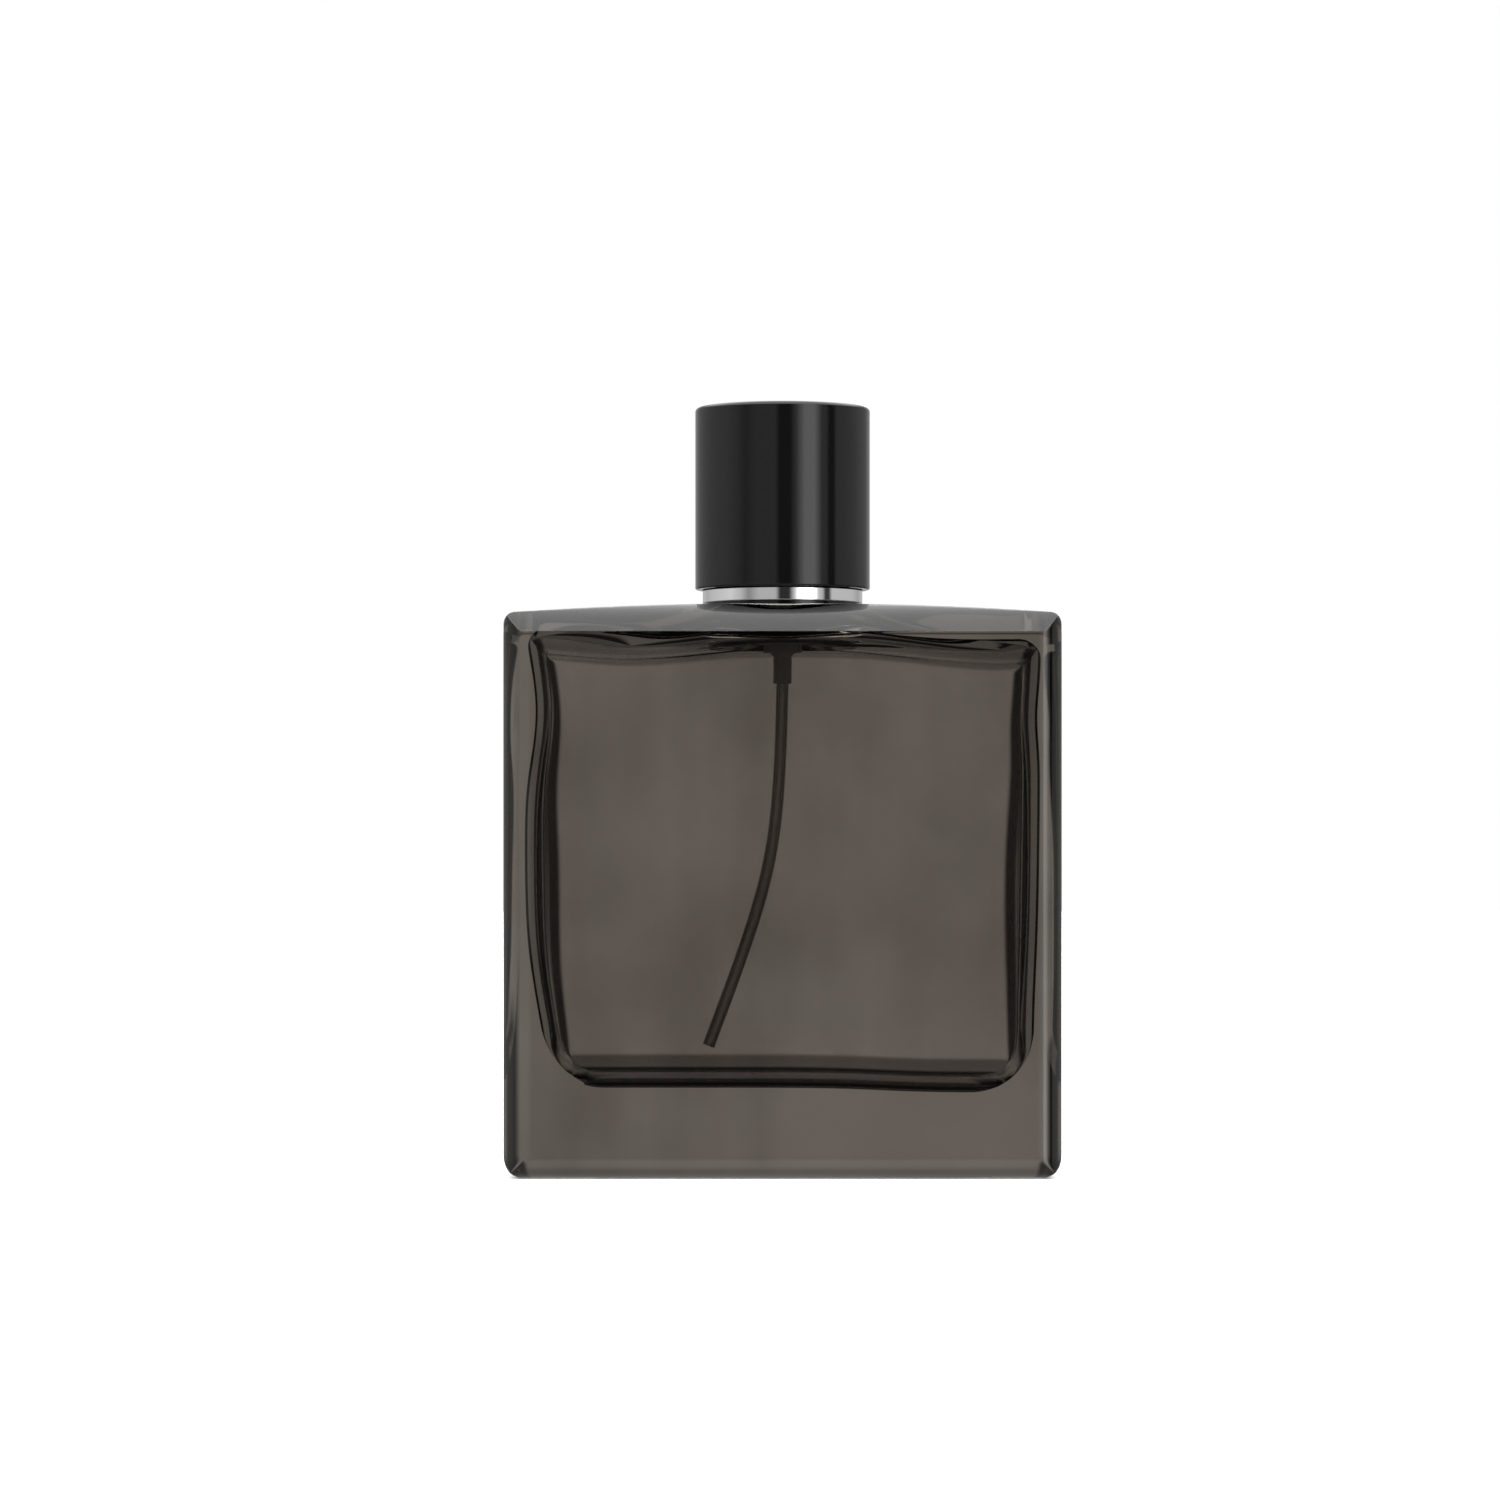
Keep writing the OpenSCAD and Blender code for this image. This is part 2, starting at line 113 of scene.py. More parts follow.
def skin(name, rows, finishes, loop=False, second_from=None):
    """A surface through rings of points, each ring a closed row of the same length.

    Row i and column j meet their next neighbours in a four-sided face. If loop is true the last
    row joins the first, as round a torus. If not, the middle of the first row and of the last row
    become single points that close the ends. Rows from second_from on take the second finish.
    """
    rows = np.asarray(rows, float)
    count, around = rows.shape[:2]
    step = np.arange(around)
    after = (step + 1) % around
    start = np.arange(count if loop else count - 1)[:, None] * around
    above = (start + around) % (count * around)
    quads = np.stack([start + step, start + after, above + after, above + step], -1).reshape(-1, 4)
    points = rows.reshape(-1, 3)
    faces = quads.tolist()
    if not loop:
        low, high = len(points), len(points) + 1
        points = np.vstack([points, rows[0].mean(0), rows[-1].mean(0)])
        last = (count - 1) * around
        faces += np.stack([np.full(around, low), after, step], -1).tolist()
        faces += np.stack([np.full(around, high), last + step, last + after], -1).tolist()
    mesh = bpy.data.meshes.new(name)
    mesh.from_pydata(points * MM, [], faces)
    for finish in finishes:
        mesh.materials.append(finish)
    if second_from is not None:
        inner = np.zeros(len(faces), np.int32)
        inner[second_from * around:len(quads)] = 1
        inner[-around:] = 1
        mesh.polygons.foreach_set("material_index", inner)
    mesh.shade_smooth()
    piece = bpy.data.objects.new(name, mesh)
    bpy.context.scene.collection.objects.link(piece)
    return piece


def steps(count, hold=0.02):
    """Places from 0 to 1: even, with one more close to each end, so that shading stays true there."""
    return np.insert(np.linspace(0, 1, count), [1, count - 1], [hold, 1 - hold])


def bevel(angle, kink):
    """A rounded edge that starts and ends with a slight crease, kink being the crease's angle.

    It is the arc of a larger circle between the same two ends: (cos t - sin k, sin t - sin k),
    divided by cos k - sin k, as t runs from k to a right angle less k.
    """
    t = kink + angle * (1 - 4 * kink / pi)
    size = cos(kink) - sin(kink)
    return (np.cos(t) - sin(kink)) / size, (np.sin(t) - sin(kink)) / size


def rounded_outline(a, b, r, kink=0.0, long=40, short=16, turn=14):
    """A rectangle of half sizes a and b with corners of radius r, counter-clockwise from above.

    Each side is a straight row of points and each corner an arc, creased at its ends by kink.
    """
    points = []
    for quarter in range(4):
        upright = quarter % 2 == 0
        half = (b if upright else a) - r
        reach = a if upright else b
        along = half * (2 * steps(short if upright else long) - 1)
        angle = np.arange(1, turn) / turn * pi / 2
        flat = np.stack([np.full_like(along, reach), along], -1)
        out, round_to = bevel(angle, kink)
        bend = np.stack([reach - r + r * out, half + r * round_to], -1)
        c, s = round(cos(quarter * pi / 2)), round(sin(quarter * pi / 2))
        points.append(np.concatenate([flat, bend]) @ np.array([[c, s], [-s, c]]))
    return np.concatenate(points)


def ring_at(x, y, z):
    """One row of a surface from coordinates that may be arrays or single numbers."""
    return np.stack(np.broadcast_arrays(x, y, z), -1)


def lathe_rows(profile, around=160):
    """A profile of radius and height turned about Z: x = r cos t, y = r sin t, z = height."""
    profile = np.asarray(profile, float)
    t = np.arange(around) / around * 2 * pi
    r, z = profile[:, :1], profile[:, 1:]
    return np.stack([r * np.cos(t), r * np.sin(t), np.broadcast_to(z, (len(profile), around))], -1)


def arc(centre_r, centre_z, radius, start, end, count=8):
    """Points of radius and height on an arc, from one angle to another in degrees."""
    t = np.radians(np.linspace(start, end, count))
    return np.stack([centre_r + radius * np.cos(t), centre_z + radius * np.sin(t)], -1)


def line(*points):
    """Corner points of a profile as an array."""
    return np.array(points, float)


# ---------- shader maths ----------

class Wire:
    """A number socket that takes Python's operators: each one adds a Math node."""

    def __init__(self, finish, socket):
        self.finish, self.socket = finish, socket

    def maths(self, operation, first, second):
        made = self.finish.node("ShaderNodeMath", {"operation": operation}, {0: first, 1: second})
        return Wire(self.finish, made.outputs[0])

    def __add__(self, other):
        return self.maths("ADD", self, other)

    def __radd__(self, other):
        return self.maths("ADD", other, self)

    def __sub__(self, other):
        return self.maths("SUBTRACT", self, other)

    def __rsub__(self, other):
        return self.maths("SUBTRACT", other, self)

    def __mul__(self, other):
        return self.maths("MULTIPLY", self, other)

    def __rmul__(self, other):
        return self.maths("MULTIPLY", other, self)

    def __truediv__(self, other):
        return self.maths("DIVIDE", self, other)


class Finish:
    """A node tree under construction, for a material or the world."""

    def __init__(self, owner):
        owner.use_nodes = True
        self.owner, self.tree = owner, owner.node_tree
        self.tree.nodes.clear()

    def node(self, kind, settings=None, sockets=None):
        """Adds a node: its settings are set first, then each socket takes a value or a link."""
        made = self.tree.nodes.new(kind)
        for key, value in (settings or {}).items():
            if key == "stops":
                self.set_stops(made.color_ramp, value)
            else:
                setattr(made, key, value)
        for key, value in (sockets or {}).items():
            socket = value.socket if isinstance(value, Wire) else value
            if isinstance(socket, bpy.types.NodeSocket):
                self.tree.links.new(socket, made.inputs[key])
            else:
                made.inputs[key].default_value = value
        return made

    @staticmethod
    def set_stops(ramp, stops):
        """Gives a colour ramp its stops: pairs of a place and a grey level or a colour."""
        for _ in stops[2:]:
            ramp.elements.new(0.5)
        for element, (place, level) in zip(ramp.elements, stops):
            colour = (level,) * 3 if isinstance(level, (int, float)) else level
            element.position, element.color = place, (*colour, 1)

    def place(self):
        """The object's own coordinates."""
        return self.node("ShaderNodeTexCoord").outputs["Object"]

    def stretched(self, scale):
        """The object's own coordinates, scaled along each axis."""
        return self.node("ShaderNodeMapping", None, {"Vector": self.place(), "Scale": scale}).outputs[0]

    def noise(self, scale, detail=3, stretch=(1, 1, 1)):
        """Soft noise from 0 to 1 with features about one over scale metres across."""
        made = self.node("ShaderNodeTexNoise", None, {
            "Vector": self.stretched(stretch), "Scale": scale, "Detail": detail})
        return Wire(self, made.outputs["Fac"])

    def between(self, share, low, high):
        """A colour part of the way from low to high."""
        made = self.node("ShaderNodeMix", {"data_type": "RGBA"}, {0: share, 6: (*low, 1), 7: (*high, 1)})
        return made.outputs[2]

    def bump(self, height, strength, distance=0.0001):
        """A normal tilted by a height."""
        return self.node("ShaderNodeBump", None, {
            "Height": height, "Strength": strength, "Distance": distance}).outputs[0]

    def surface(self, shader):
        """Ends the tree in a surface, and returns what owns it."""
        self.node("ShaderNodeOutputMaterial", None, {"Surface": shader})
        return self.owner


def material(name):
    return Finish(bpy.data.materials.new(name))


def principled(finish, **sockets):
    """A Principled shader; names have spaces where the arguments have underscores."""
    return finish.node("ShaderNodeBsdfPrincipled", None, {
        key.replace("_", " "): value for key, value in sockets.items()}).outputs[0]


# ---------- finishes ----------

def lacquered_glass():
    """Clear glass under a grey-brown lacquer: the lacquer tints light each time it meets the face. Its tint
    changes at random in streaks and clouds, and is darker towards the top, which is painted shade.
    """
    f = material("smoke_glass_lacquered")
    streaks = f.noise(60, 4, (1.6, 1, 0.25))
    clouds = f.noise(38, 3)
    _, _, height = f.node("ShaderNodeSeparateXYZ", None, {0: f.place()}).outputs
    # painted shade: the height term makes the tint darker towards the top
    share = 1.8 * streaks + 3.0 * clouds - 1.68 - 3 * Wire(f, height)
    entering = f.between(share, (0.086, 0.073, 0.062), (0.142, 0.123, 0.107))
    leaving = f.between(share, (0.32, 0.295, 0.27), (0.36, 0.338, 0.314))
    outside = principled(f, Base_Color=entering, Roughness=0.0, IOR=1.5, Transmission_Weight=1.0)
    inside = f.node("ShaderNodeBsdfGlass", {"distribution": "GGX"}, {
        "Color": leaving, "Roughness": 0.0, "IOR": 1.5}).outputs[0]
    facing = f.node("ShaderNodeNewGeometry").outputs["Backfacing"]
    mix = f.node("ShaderNodeMixShader", None, {0: facing, 1: outside, 2: inside})
    return f.surface(mix.outputs[0])


def bare_glass():
    """The untinted face of the cavity, with the faint ripples of blown glass."""
    f = material("smoke_glass_cavity")
    ripple = f.bump(f.noise(70, 2, (1, 1, 0.5)), 0.15, 0.0004)
    return f.surface(principled(f, Base_Color=(1, 1, 1, 1), Roughness=0.0, IOR=1.5,
                                Transmission_Weight=1.0, Normal=ripple))


def gloss_black(name, roughness=0.02, level=0.0022):
    """Polished black plastic with faint smears in its gloss."""
    f = material(name)
    smear = f.noise(90, 4, (1, 1, 0.4))
    base = f.between(smear, (level,) * 3, (1.6 * level,) * 3)
    return f.surface(principled(f, Base_Color=base, Roughness=roughness + 0.02 * smear, IOR=1.45,
                                Normal=f.bump(f.noise(900, 2), 0.015, 0.00005)))


def moulded(name, low, high, roughness=0.4, grain=0.12):
    """Moulded plastic or rubber: a faint fine grain and slow changes of shade."""
    f = material(name)
    shade = f.noise(140, 3)
    return f.surface(principled(f, Base_Color=f.between(shade, low, high),
                                Roughness=roughness + 0.1 * shade, IOR=1.5,
                                Normal=f.bump(f.noise(2400, 2), grain, 0.00004)))


def metal(name, low, high, roughness, stretch=(1, 1, 12), grain=0.08):
    """Bright metal with fine turned lines: noise squeezed along the axis."""
    f = material(name)
    lines = f.noise(500, 3, stretch)
    return f.surface(principled(f, Base_Color=f.between(lines, low, high), Metallic=1.0,
                                Roughness=roughness + 0.06 * lines,
                                Normal=f.bump(lines, grain, 0.00003)))


def milky_tube():
    """Natural polyethylene: lets light through but scatters it a little."""
    f = material("dip_tube_plastic")
    cloud = f.noise(300, 3, (1, 1, 0.3))
    return f.surface(principled(f, Base_Color=f.between(cloud, (0.58, 0.56, 0.54), (0.68, 0.66, 0.64)),
                                Roughness=0.05 + 0.1 * cloud, IOR=1.25, Transmission_Weight=0.95))


glass_outside = lacquered_glass()
glass_inside = bare_glass()
cap_black = gloss_black("cap_gloss_black")
collar_black = gloss_black("collar_gloss_black", 0.08, 0.004)
liner_black = moulded("liner_plastic", (0.010, 0.010, 0.010), (0.018, 0.018, 0.018), 0.45)
silver = metal("collar_silver", (0.90, 0.90, 0.91), (0.96, 0.96, 0.97), 0.05)
button_silver = metal("button_silver", (0.78, 0.78, 0.79), (0.87, 0.87, 0.88), 0.09)
core_black = moulded("button_core_plastic", (0.014, 0.014, 0.014), (0.022, 0.022, 0.022), 0.38)
nozzle_white = moulded("nozzle_plastic", (0.78, 0.78, 0.76), (0.84, 0.84, 0.82), 0.35)
pump_white = moulded("pump_plastic", (0.40, 0.39, 0.37), (0.48, 0.47, 0.45), 0.35)
rubber = moulded("seal_rubber", (0.02, 0.02, 0.02), (0.035, 0.034, 0.033), 0.6)
aluminium = metal("crimped_aluminium", (0.74, 0.74, 0.76), (0.84, 0.84, 0.86), 0.22, grain=0.15)
steel = metal("spring_steel", (0.50, 0.50, 0.51), (0.60, 0.60, 0.61), 0.18, (1, 1, 1))
tube_plastic = milky_tube()


# ---------- glass bottle ----------

def soft_min(first, second, blend=0.03):
    """The smaller of two values, the crease softened: -k ln(exp(-a / k) + exp(-b / k))."""
    return -blend * np.logaddexp(-first / blend, -second / blend)


def clamped(points, a, b):
    """An outline drawn in to at most a sideways and b front to back, which mitres its corners."""
    x, y = points.T
    return np.sign(x) * soft_min(np.abs(x), a), np.sign(y) * soft_min(np.abs(y), b)


def fall(past, r, kink=0.0):
    """How far a rounding of size r has fallen away, past being how far it is from the rounding's start.

    With d = past / r the fall is r (1 - sqrt(R^2 - (d + s)^2) + s), where s = sin k / (cos k - sin k)
    and R = 1 / (cos k - sin k), the larger circle that a crease of angle k asks for.
    """
    size = cos(kink) - sin(kink)
    shift = sin(kink) / size
    share = np.clip(past / r, 0, 1)
    return r * (1 + shift - np.sqrt(np.maximum(size ** -2 - (share + shift) ** 2, 0)))


def drawn_in(half, r, past, kink=0.0):
    """Half size of a level cut that lies past the start of a rounding."""
    return half - fall(past, r, kink)


def rounding(top, half, r, place, kink=0.0):
    """Height over a rounded edge, from how far place is past the rounding's start."""
    return top - fall(np.abs(place) - (half - r), r, kink)


def bell(x, middle, spread):
    """A smooth hump of height 1: exp(-((x - middle) / spread)^2)."""
    return np.exp(-((x - middle) / spread) ** 2)


def waves(x, parts):
    """The sum of several humps, each given as its depth, middle and spread."""
    return sum(depth * bell(x, middle, spread) for depth, middle, spread in parts)


def arch(x):
    """Height of the shoulder's long arch: a circle of radius arch_r whose top is body_h."""
    return body_h - arch_r + np.sqrt(arch_r ** 2 - x ** 2)


def shoulder(x, y):
    """Height of the shoulder: the lower of the long arch and the rounded front and back edges."""
    return soft_min(arch(x), rounding(body_h, body_b, shoulder_r, y, shoulder_kink))


def outer_rows(outline, ray):
    """Rows of the outside, from the middle of the base up to the lip.

    Up to the shoulder each row is a level cut: the plan outline, drawn in by the foot's rounding or
    by the rounding of the shoulder and its corners. Over the shoulder the rows run from the last
    cut in to circles round the neck, at the height of the shoulder.
    """
    recess_a, recess_b, recess_r, recess_h = recess
    inner = rounded_outline(recess_a, recess_b, recess_r)
    rows = [ring_at(*(inner.T * share), recess_h) for share in (0.3, 0.7, 0.97)]
    rows += [ring_at(*(inner.T * share), recess_h * z)
             for share, z in ((0.985, 0.97), (0.993, 0.75), (1.0, 0.35), (1.004, 0.1), (1.01, 0.0))]
    foot = np.stack(clamped(outline, body_a - foot_r, body_b - foot_r), -1)
    rows += [ring_at(*((1 - share) * inner + share * foot).T, 0) for share in (0.4, 0.97)]
    for t in np.radians(steps(16) * 90):
        past = foot_r * cos(t)
        x, y = clamped(outline, drawn_in(body_a, foot_r, past), drawn_in(body_b, foot_r, past))
        rows.append(ring_at(x, y, foot_r - past))
    brow = body_h - shoulder_r
    for share in steps(24, 0.003)[1:-1]:
        rows.append(ring_at(*outline.T, foot_r + share * (brow - foot_r)))
    for z in brow + steps(18) * (last_cut_z - brow):
        a = drawn_in(body_a, top_corner_r, z - corner_z)
        b = drawn_in(body_b, shoulder_r, z - brow, shoulder_kink)
        rows.append(ring_at(*clamped(outline, a, b), z))
    edge = rows[-1][:, :2]
    for share in steps(34, 0.01)[1:] ** 1.25:
        x, y = ((1 - share) * edge + share * (neck_r + neck_fillet) * ray).T
        rows.append(ring_at(x, y, shoulder(x, y)))
    bead_z = neck_top - bead_h
    profile = np.concatenate([
        arc(neck_r + neck_fillet, body_h + neck_fillet, neck_fillet, 260, 185, 6),
        line((neck_r, body_h + 1.5 * neck_fillet), (neck_r, bead_z - soft_r - past_arc)),
        arc(neck_r + soft_r, bead_z - soft_r, soft_r, 175, 95, 5),
        line((bead_r - soft_r - past_arc, bead_z)),
        arc(bead_r - soft_r, bead_z + soft_r, soft_r, 280, 360, 5),
        arc(bead_r - lip_r, neck_top - lip_r, lip_r, 0, 90, 8),
        line((bore_r + lip_r, neck_top)),
        arc(bore_r + soft_r, neck_top - soft_r, soft_r, 100, 180, 6),
    ])
    rows += [ring_at(*(radius * ray.T), z) for radius, z in profile]
    return rows


def cavity_left(z):
    """Half width of the cavity on the left: a waist high up, drawn in towards the floor."""
    return cavity_a + 0.1 - waves(z, left_waves)


def cavity_right(z):
    """Half width of the cavity on the right: a slight waist high up, drawn in towards the floor."""
    return cavity_a - waves(z, right_waves)


def cavity_floor(x):
    """Height of the cavity's floor, a little lower to the right."""
    return floor_z - floor_step * np.tanh((x - floor_step_x) / floor_step_w)


def cavity_roof(x, y):
    """Height of the cavity's roof: two shallow sags either side of a small funnel round the neck."""
    flat = roof_z - waves(x, roof_waves)
    rise = np.clip((funnel_r - np.hypot(x, y)) / (funnel_r - bore_r), 0, 1)
    return flat + (throat_top - flat) * rise ** 2 * (3 - 2 * rise)


def inner_rows(outline, ray):
    """Rows of the inside, from the lip down the bore, over the roof, down the walls to the floor.

    The walls are level cuts of an outline whose left and right half widths change with height, and
    which is narrower at the back by a little. The roof and the floor are heights over the plan.
    """
    ux, uy = (outline / (cavity_a, cavity_b)).T
    floor_side_r = np.where(uy > 0, floor_back_r, floor_front_r)

    def half_width(z):
        sides = np.where(ux < 0, cavity_left(z), cavity_right(z))
        return sides * (1 - waves(z, back_waist) * (0.5 + 0.5 * uy))

    def cut(z, above, below):
        """A level cut at z, above and below being how far it is past each rounding's start."""
        wide = half_width(z)
        plan = np.stack([wide * ux, cavity_b * uy], -1)
        a = np.minimum(drawn_in(wide, roof_end_r, above[0]), drawn_in(wide, floor_end_r, below[0]))
        b = np.minimum(drawn_in(cavity_b, roof_side_r, above[1]),
                       drawn_in(cavity_b, floor_side_r, below[1]))
        return ring_at(*clamped(plan, a, b), z)

    roof = cavity_roof(half_width(roof_z) * ux, cavity_b * uy)
    upper = [cut(z, (z - roof + roof_end_r, z - roof + roof_side_r), (0, 0))
             for z in (roof - roof_side_r + share * roof_reach for share in steps(16))]
    rows = [ring_at(*(bore_r * ray.T), neck_top - drop) for drop in (2 * soft_r, 4, neck_top - throat_top)]
    edge = upper[-1][:, :2]
    wide = half_width(roof_z)
    for share in steps(34, 0.01)[:-1] ** 0.8:
        x, y = ((1 - share) * bore_r * ray + share * edge).T
        top = (1 - share) * cavity_roof(x, y) + share * roof
        rows.append(ring_at(x, y, soft_min(
            rounding(top, cavity_b, roof_side_r, y), rounding(top, wide, roof_end_r, x))))
    rows += upper[::-1]
    high = roof - roof_side_r
    floor = cavity_floor(half_width(floor_z) * ux)
    low = floor + floor_end_r
    rows += [cut(high + share * (low - high), (0, 0), (0, 0)) for share in steps(44, 0.004)[1:-1]]
    rows += [cut(z, (0, 0), (low - z, floor + floor_side_r - z))
             for z in (low - share * (floor_end_r - floor_rest) for share in steps(26))]
    edge = rows[-1][:, :2]
    wide = half_width(floor_z + floor_end_r)
    for share in 1 - steps(22, 0.02)[1:-1] ** 1.3:
        x, y = (share * edge).T
        depth = soft_min(rounding(0, wide, floor_end_r, x), rounding(0, cavity_b, floor_side_r, y))
        rows.append(ring_at(x, y, cavity_floor(x) - depth))
    return rows


def bottle():
    """The glass in one closed skin: outside, lip and cavity, with the lacquer on the outside only."""
    outline = rounded_outline(body_a, body_b, edge_r, edge_kink)
    ray = outline / np.linalg.norm(outline, axis=1)[:, None]
    outer = outer_rows(outline, ray)
    inner = inner_rows(rounded_outline(cavity_a, cavity_b, cavity_edge_r), ray)
    piece = skin("bottle_glass", outer + inner, [glass_outside, glass_inside], second_from=len(outer))
    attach(piece, "root")
    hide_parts("glass_bottle")


# ---------- turned pieces ----------

def turned(name, profile, finish, body, node, loop=True):
    """An outline of radius and height turned about Z, in place of a CAD node.

    The outline closes on itself, or without loop runs from the axis to the axis.
    """
    piece = skin(name, lathe_rows(profile), [finish], loop=loop)
    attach(piece, body)
    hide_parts(node)
    return piece


def cap():
    """The cap's shell: straight side, softly rounded top edge, rounded rim, hollow below."""
    r, low, high = cap_high[0], cap_low[2], cap_high[2]
    wall, roof, edge, rim_r, middle, straight = 1.1, 1.6, 0.6, 0.25, 0.5, 8
    soft = 0.15
    outside = np.concatenate([
        line((r - wall + soft, low), (r - rim_r - 0.05, low)),
        arc(r - rim_r, low + rim_r, rim_r, -80, 0, 6),
        line((r, low + 2 * rim_r), (r, low + straight), (r, high - straight), (r, high - edge - soft)),
        arc(r - edge, high - edge, edge, 0, 90, 14),
        line((r - edge - 0.2, high), (5, high), (middle, high)),
    ])
    inside = line((middle, high - roof), (r - wall - 0.2, high - roof), (r - wall, high - roof - 0.2),
                  (r - wall, low + soft))
    outline = np.concatenate([inside, outside])
    turned("cap_shell_gloss", outline, cap_black, "cap", "cap_shell", loop=False)


def collar():
    """The silver ring with its sleeve."""
    r, low, high = ring_high[0], ring_low[2], ring_high[2]
    inner, sleeve, ledge = 9.0, 9.7, low + 1.95
    mouth = 7.2
    silver_outline = np.concatenate([
        line((inner, low), (r - 0.2, low)),
        arc(r - 0.15, low + 0.15, 0.15, -80, 0, 5),
        line((r, low + 0.3), (r, ledge - 0.3)),
        arc(r - 0.15, ledge - 0.15, 0.15, 0, 85, 5),
        line((r - 0.3, ledge), (sleeve + 0.3, ledge)),
        arc(sleeve + 0.2, ledge + 0.2, 0.2, 265, 180, 5),
        line((sleeve, ledge + 0.5), (sleeve, high - 0.6)),
        arc(sleeve - 0.4, high - 0.4, 0.4, 0, 90, 8),
        line((mouth + 0.3, high)),
        arc(mouth + 0.2, high - 0.2, 0.2, 95, 180, 5),
        line((mouth, high - 0.6), (inner, high - 0.6)),
    ])
    turned("collar_ring_silver", silver_outline, silver, "root", "collar_ring")


# ---------- wires and tube ----------

def swept(name, course, r, finish, around=16, bore=0):
    """A round tube of radius r along a course, with flat ends, or an open-ended pipe if bore is above 0.

    A ring at each point lies square to the course: point + r (cos t side + sin t up), where up is
    square to both the course and a steady sideways direction.
    """
    along = np.gradient(course, axis=0)
    along /= np.linalg.norm(along, axis=1)[:, None]
    steady = np.where(np.abs(along[:, 2:]) > 0.5, (0.0, 1.0, 0.0), (0.0, 0.0, 1.0))
    side = np.cross(steady, along)
    side /= np.linalg.norm(side, axis=1)[:, None]
    up = np.cross(along, side)
    t = np.arange(around) / around * 2 * pi
    circle = np.cos(t)[None, :, None] * side[:, None] + np.sin(t)[None, :, None] * up[:, None]
    rows = course[:, None] + r * circle
    if not bore:
        return skin(name, rows, [finish])
    wall = course[:, None] + bore * circle
    return skin(name, np.concatenate([rows, wall[::-1]]), [finish], loop=True)


def coil_course(low, free, r, wire, turns, per_turn=40):
    """A spring's centre line: a circle that climbs one wire in its first and last turns, evenly between."""
    t = np.linspace(0, turns, turns * per_turn + 1)
    pitch = (free - 3 * wire) / (turns - 2)
    climb = np.where(t < 1, t * wire, np.where(
        t > turns - 1, free - wire - (turns - t) * wire, wire + (t - 1) * pitch))
    a = 2 * pi * t
    return np.stack([r * np.cos(a), r * np.sin(a), low + wire / 2 + climb], -1)


def spring(name, node, body, mean_r, wire, turns):
    """A coil spring in its CAD node's box."""
    low, high = node_box(node)
    course = coil_course(low[2], high[2] - low[2], mean_r, wire, turns)
    piece = swept(name, course, wire / 2, steel, 14)
    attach(piece, body)
    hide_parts(node)
    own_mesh(piece)


def dip_tube():
    """The dip tube: upright in its socket, then down a hyperbola that leans to the left."""
    slope, bend_z, bend_l, socket_z, foot_z = 0.4, 45.5, 12.5, 71.3, 18.5
    tube_r, tube_bore = 0.9, 0.5

    def lean(z):
        return -slope / 2 * (bend_z - z + np.sqrt((bend_z - z) ** 2 + bend_l ** 2))

    z = np.linspace(tube_high[2], foot_z, 110)
    x = np.where(z > socket_z, 0, lean(z) - lean(socket_z))
    piece = swept("dip_tube_clear", np.stack([x, 0 * z, z], -1), tube_r, tube_plastic, 32, tube_bore)
    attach(piece, "root")
    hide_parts("dip_tube")


# ---------- carried-over nodes ----------

def dress(finish, *names):
    """Gives CAD nodes their finish."""
    for name in names:
        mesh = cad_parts[name].data
        mesh.materials.clear()
        mesh.materials.append(finish)


# ---------- studio ----------

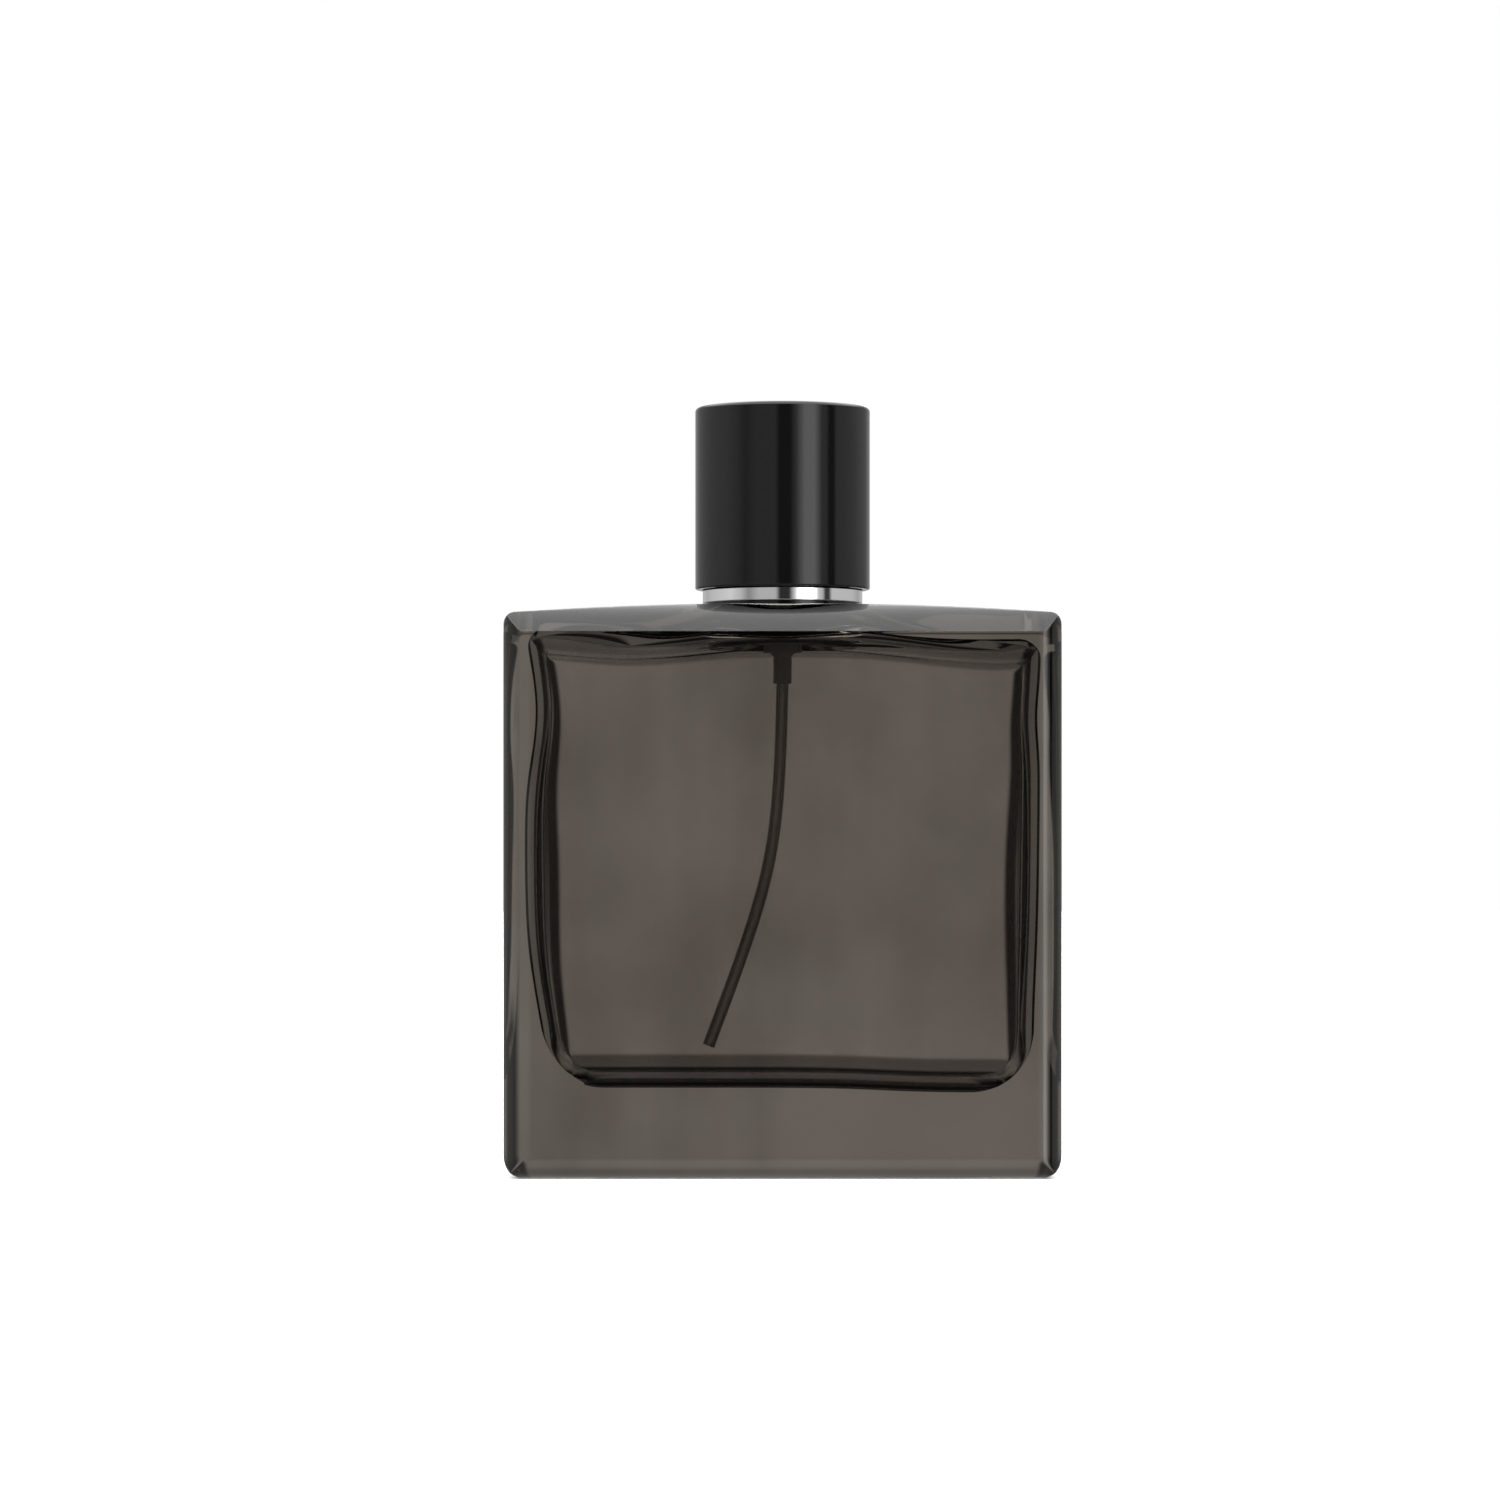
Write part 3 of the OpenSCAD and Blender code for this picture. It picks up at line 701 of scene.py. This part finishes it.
def studio_world():
    """White to the camera. Mirrored and refracted light each see surroundings of their own.

    Mirrored light sees a ring of soft panels with two dark strips, a lit ceiling and a pale ground.
    Refracted light sees a bright backdrop with dark cards beside and below it, which draw the dark
    outlines in the glass. It is set for the view from the front, and glass seen from higher up is darker.
    Compass angles run from -180 to 180, 0 being the front and 90 the right.
    """
    f = Finish(bpy.data.worlds.new("studio"))
    bpy.context.scene.world = f.owner
    towards = f.node("ShaderNodeTexCoord").outputs["Generated"]
    direction = f.node("ShaderNodeSeparateXYZ", None, {0: towards})
    x, y, z = (Wire(f, socket) for socket in direction.outputs)
    angle = x.maths("ARCTAN2", x, 0 - y) / (2 * pi) + 0.5

    def ring(brightest, *panels):
        """A level for each compass angle, straight between the angles given."""
        stops = [((degrees + 180) / 360, level / brightest) for degrees, level in panels]
        return brightest * Wire(f, f.node("ShaderNodeValToRGB", {"stops": stops}, {0: angle}).outputs[0])

    def fade(low, high):
        """0 below one height of the direction, 1 above another, smooth between."""
        return Wire(f, f.node("ShaderNodeMapRange", {"interpolation_type": "SMOOTHSTEP"}, {
            "Value": z, "From Min": low, "From Max": high}).outputs[0])

    panel_gain, ceiling_level, ground_level = 1.2, 3.4, 0.5
    panels = ring(2.6, (-180, 0.4), (-155, 0.4), (-140, 0.35), (-120, 0.42), (-80, 0.52), (-62, 0.38),
                  (-50, 0.20), (-34, 0.36), (-10, 0.36), (-4, 0.02), (10, 0.02), (18, 0.5), (30, 2.2),
                  (42, 2.2), (53, 0.45), (60, 0.36), (64, 0.03), (71, 0.03), (76, 0.42), (120, 0.40),
                  (140, 0.30), (155, 0.4), (180, 0.4))
    ceiling = fade(0.35, 0.7)
    above = fade(-0.42, -0.14)
    mirrored = panel_gain * panels * (1 - ceiling) * above + ceiling_level * ceiling + (
        ground_level * (1 - above))
    backdrop = ring(1, (-180, 1), (-174, 1), (-167, 0.04), (-151, 0.04), (-144, 0.6), (144, 0.6),
                    (151, 0.04), (167, 0.04), (174, 1), (180, 1))
    behind = ring(1, (-180, 1), (-160, 1), (-146, 0), (146, 0), (160, 1), (180, 1))
    table = (1 - behind * (1 - 0.62 * fade(-0.17, -0.075) - 0.38 * fade(-0.45, -0.33))) * (
        0.1 + 0.9 * fade(-0.97, -0.85))
    refracted = 0.02 + backdrop * (1 - 0.45 * fade(0.12, 0.35)) * table
    light = f.node("ShaderNodeLightPath")
    through = Wire(f, light.outputs["Is Transmission Ray"])
    level = through * refracted + (1 - through) * mirrored
    panels_light = f.node("ShaderNodeBackground", None, {"Color": level, "Strength": 1.0})
    white = f.node("ShaderNodeBackground", None, {"Color": (1, 1, 1, 1), "Strength": 1.0})
    mix = f.node("ShaderNodeMixShader", None, {
        0: light.outputs["Is Camera Ray"], 1: panels_light.outputs[0], 2: white.outputs[0]})
    f.node("ShaderNodeOutputWorld", None, {"Surface": mix.outputs[0]})


def studio_floor():
    """A plain pale floor, flat and round. Mirrored and refracted light sees the studio's ground instead."""
    f = material("floor_pale")
    shade = f.noise(3, 2)
    pale = f.node("ShaderNodeBsdfDiffuse", None, {
        "Color": f.between(shade, (0.93, 0.93, 0.93), (0.95, 0.95, 0.95))}).outputs[0]
    glow = f.node("ShaderNodeEmission", None, {"Color": (1, 1, 1, 1), "Strength": 0.12}).outputs[0]
    finish = f.surface(f.node("ShaderNodeAddShader", None, {0: pale, 1: glow}).outputs[0])
    reach, thickness, gap, middle = 3000, 4, 0.02, 20
    profile = line((reach, -thickness), (reach, -gap), (middle, -gap))
    floor = skin("studio_floor", lathe_rows(profile, 64), [finish])
    floor.visible_glossy = floor.visible_transmission = False


def studio_camera():
    """Level with the middle of the body, square to its front."""
    data = bpy.data.cameras.new("camera")
    data.sensor_width, data.lens = 36, 115
    data.shift_x, data.shift_y = -0.0217, 0.0667
    data.clip_start, data.clip_end = 0.01, 20
    camera = bpy.data.objects.new("camera", data)
    camera.location = (0, -0.700, 0.047)
    camera.rotation_euler = (pi / 2, 0, 0)
    bpy.context.scene.collection.objects.link(camera)
    bpy.context.scene.camera = camera
    bpy.context.scene.view_settings.view_transform = "Standard"


studio_camera()
studio_world()
studio_floor()
bottle()
cap()
collar()
dip_tube()
spring("return_spring_coil", "return_spring", "root",
       mean_r=1.5, wire=0.4, turns=5)
spring("poppet_spring_coil", "poppet_spring", "plunger",
       mean_r=0.65, wire=0.2, turns=7)
dress(liner_black, "cap_liner")
dress(collar_black, "collar_base")
dress(aluminium, "crimp_ferrule")
dress(button_silver, "actuator_shell")
dress(core_black, "actuator_body")
dress(nozzle_white, "nozzle_insert")
dress(pump_white, "pump_housing", "pump_closure", "stem", "piston", "ball_cage")
dress(rubber, "stem_gasket", "neck_gasket")
dress(steel, "inlet_ball", "outlet_poppet")
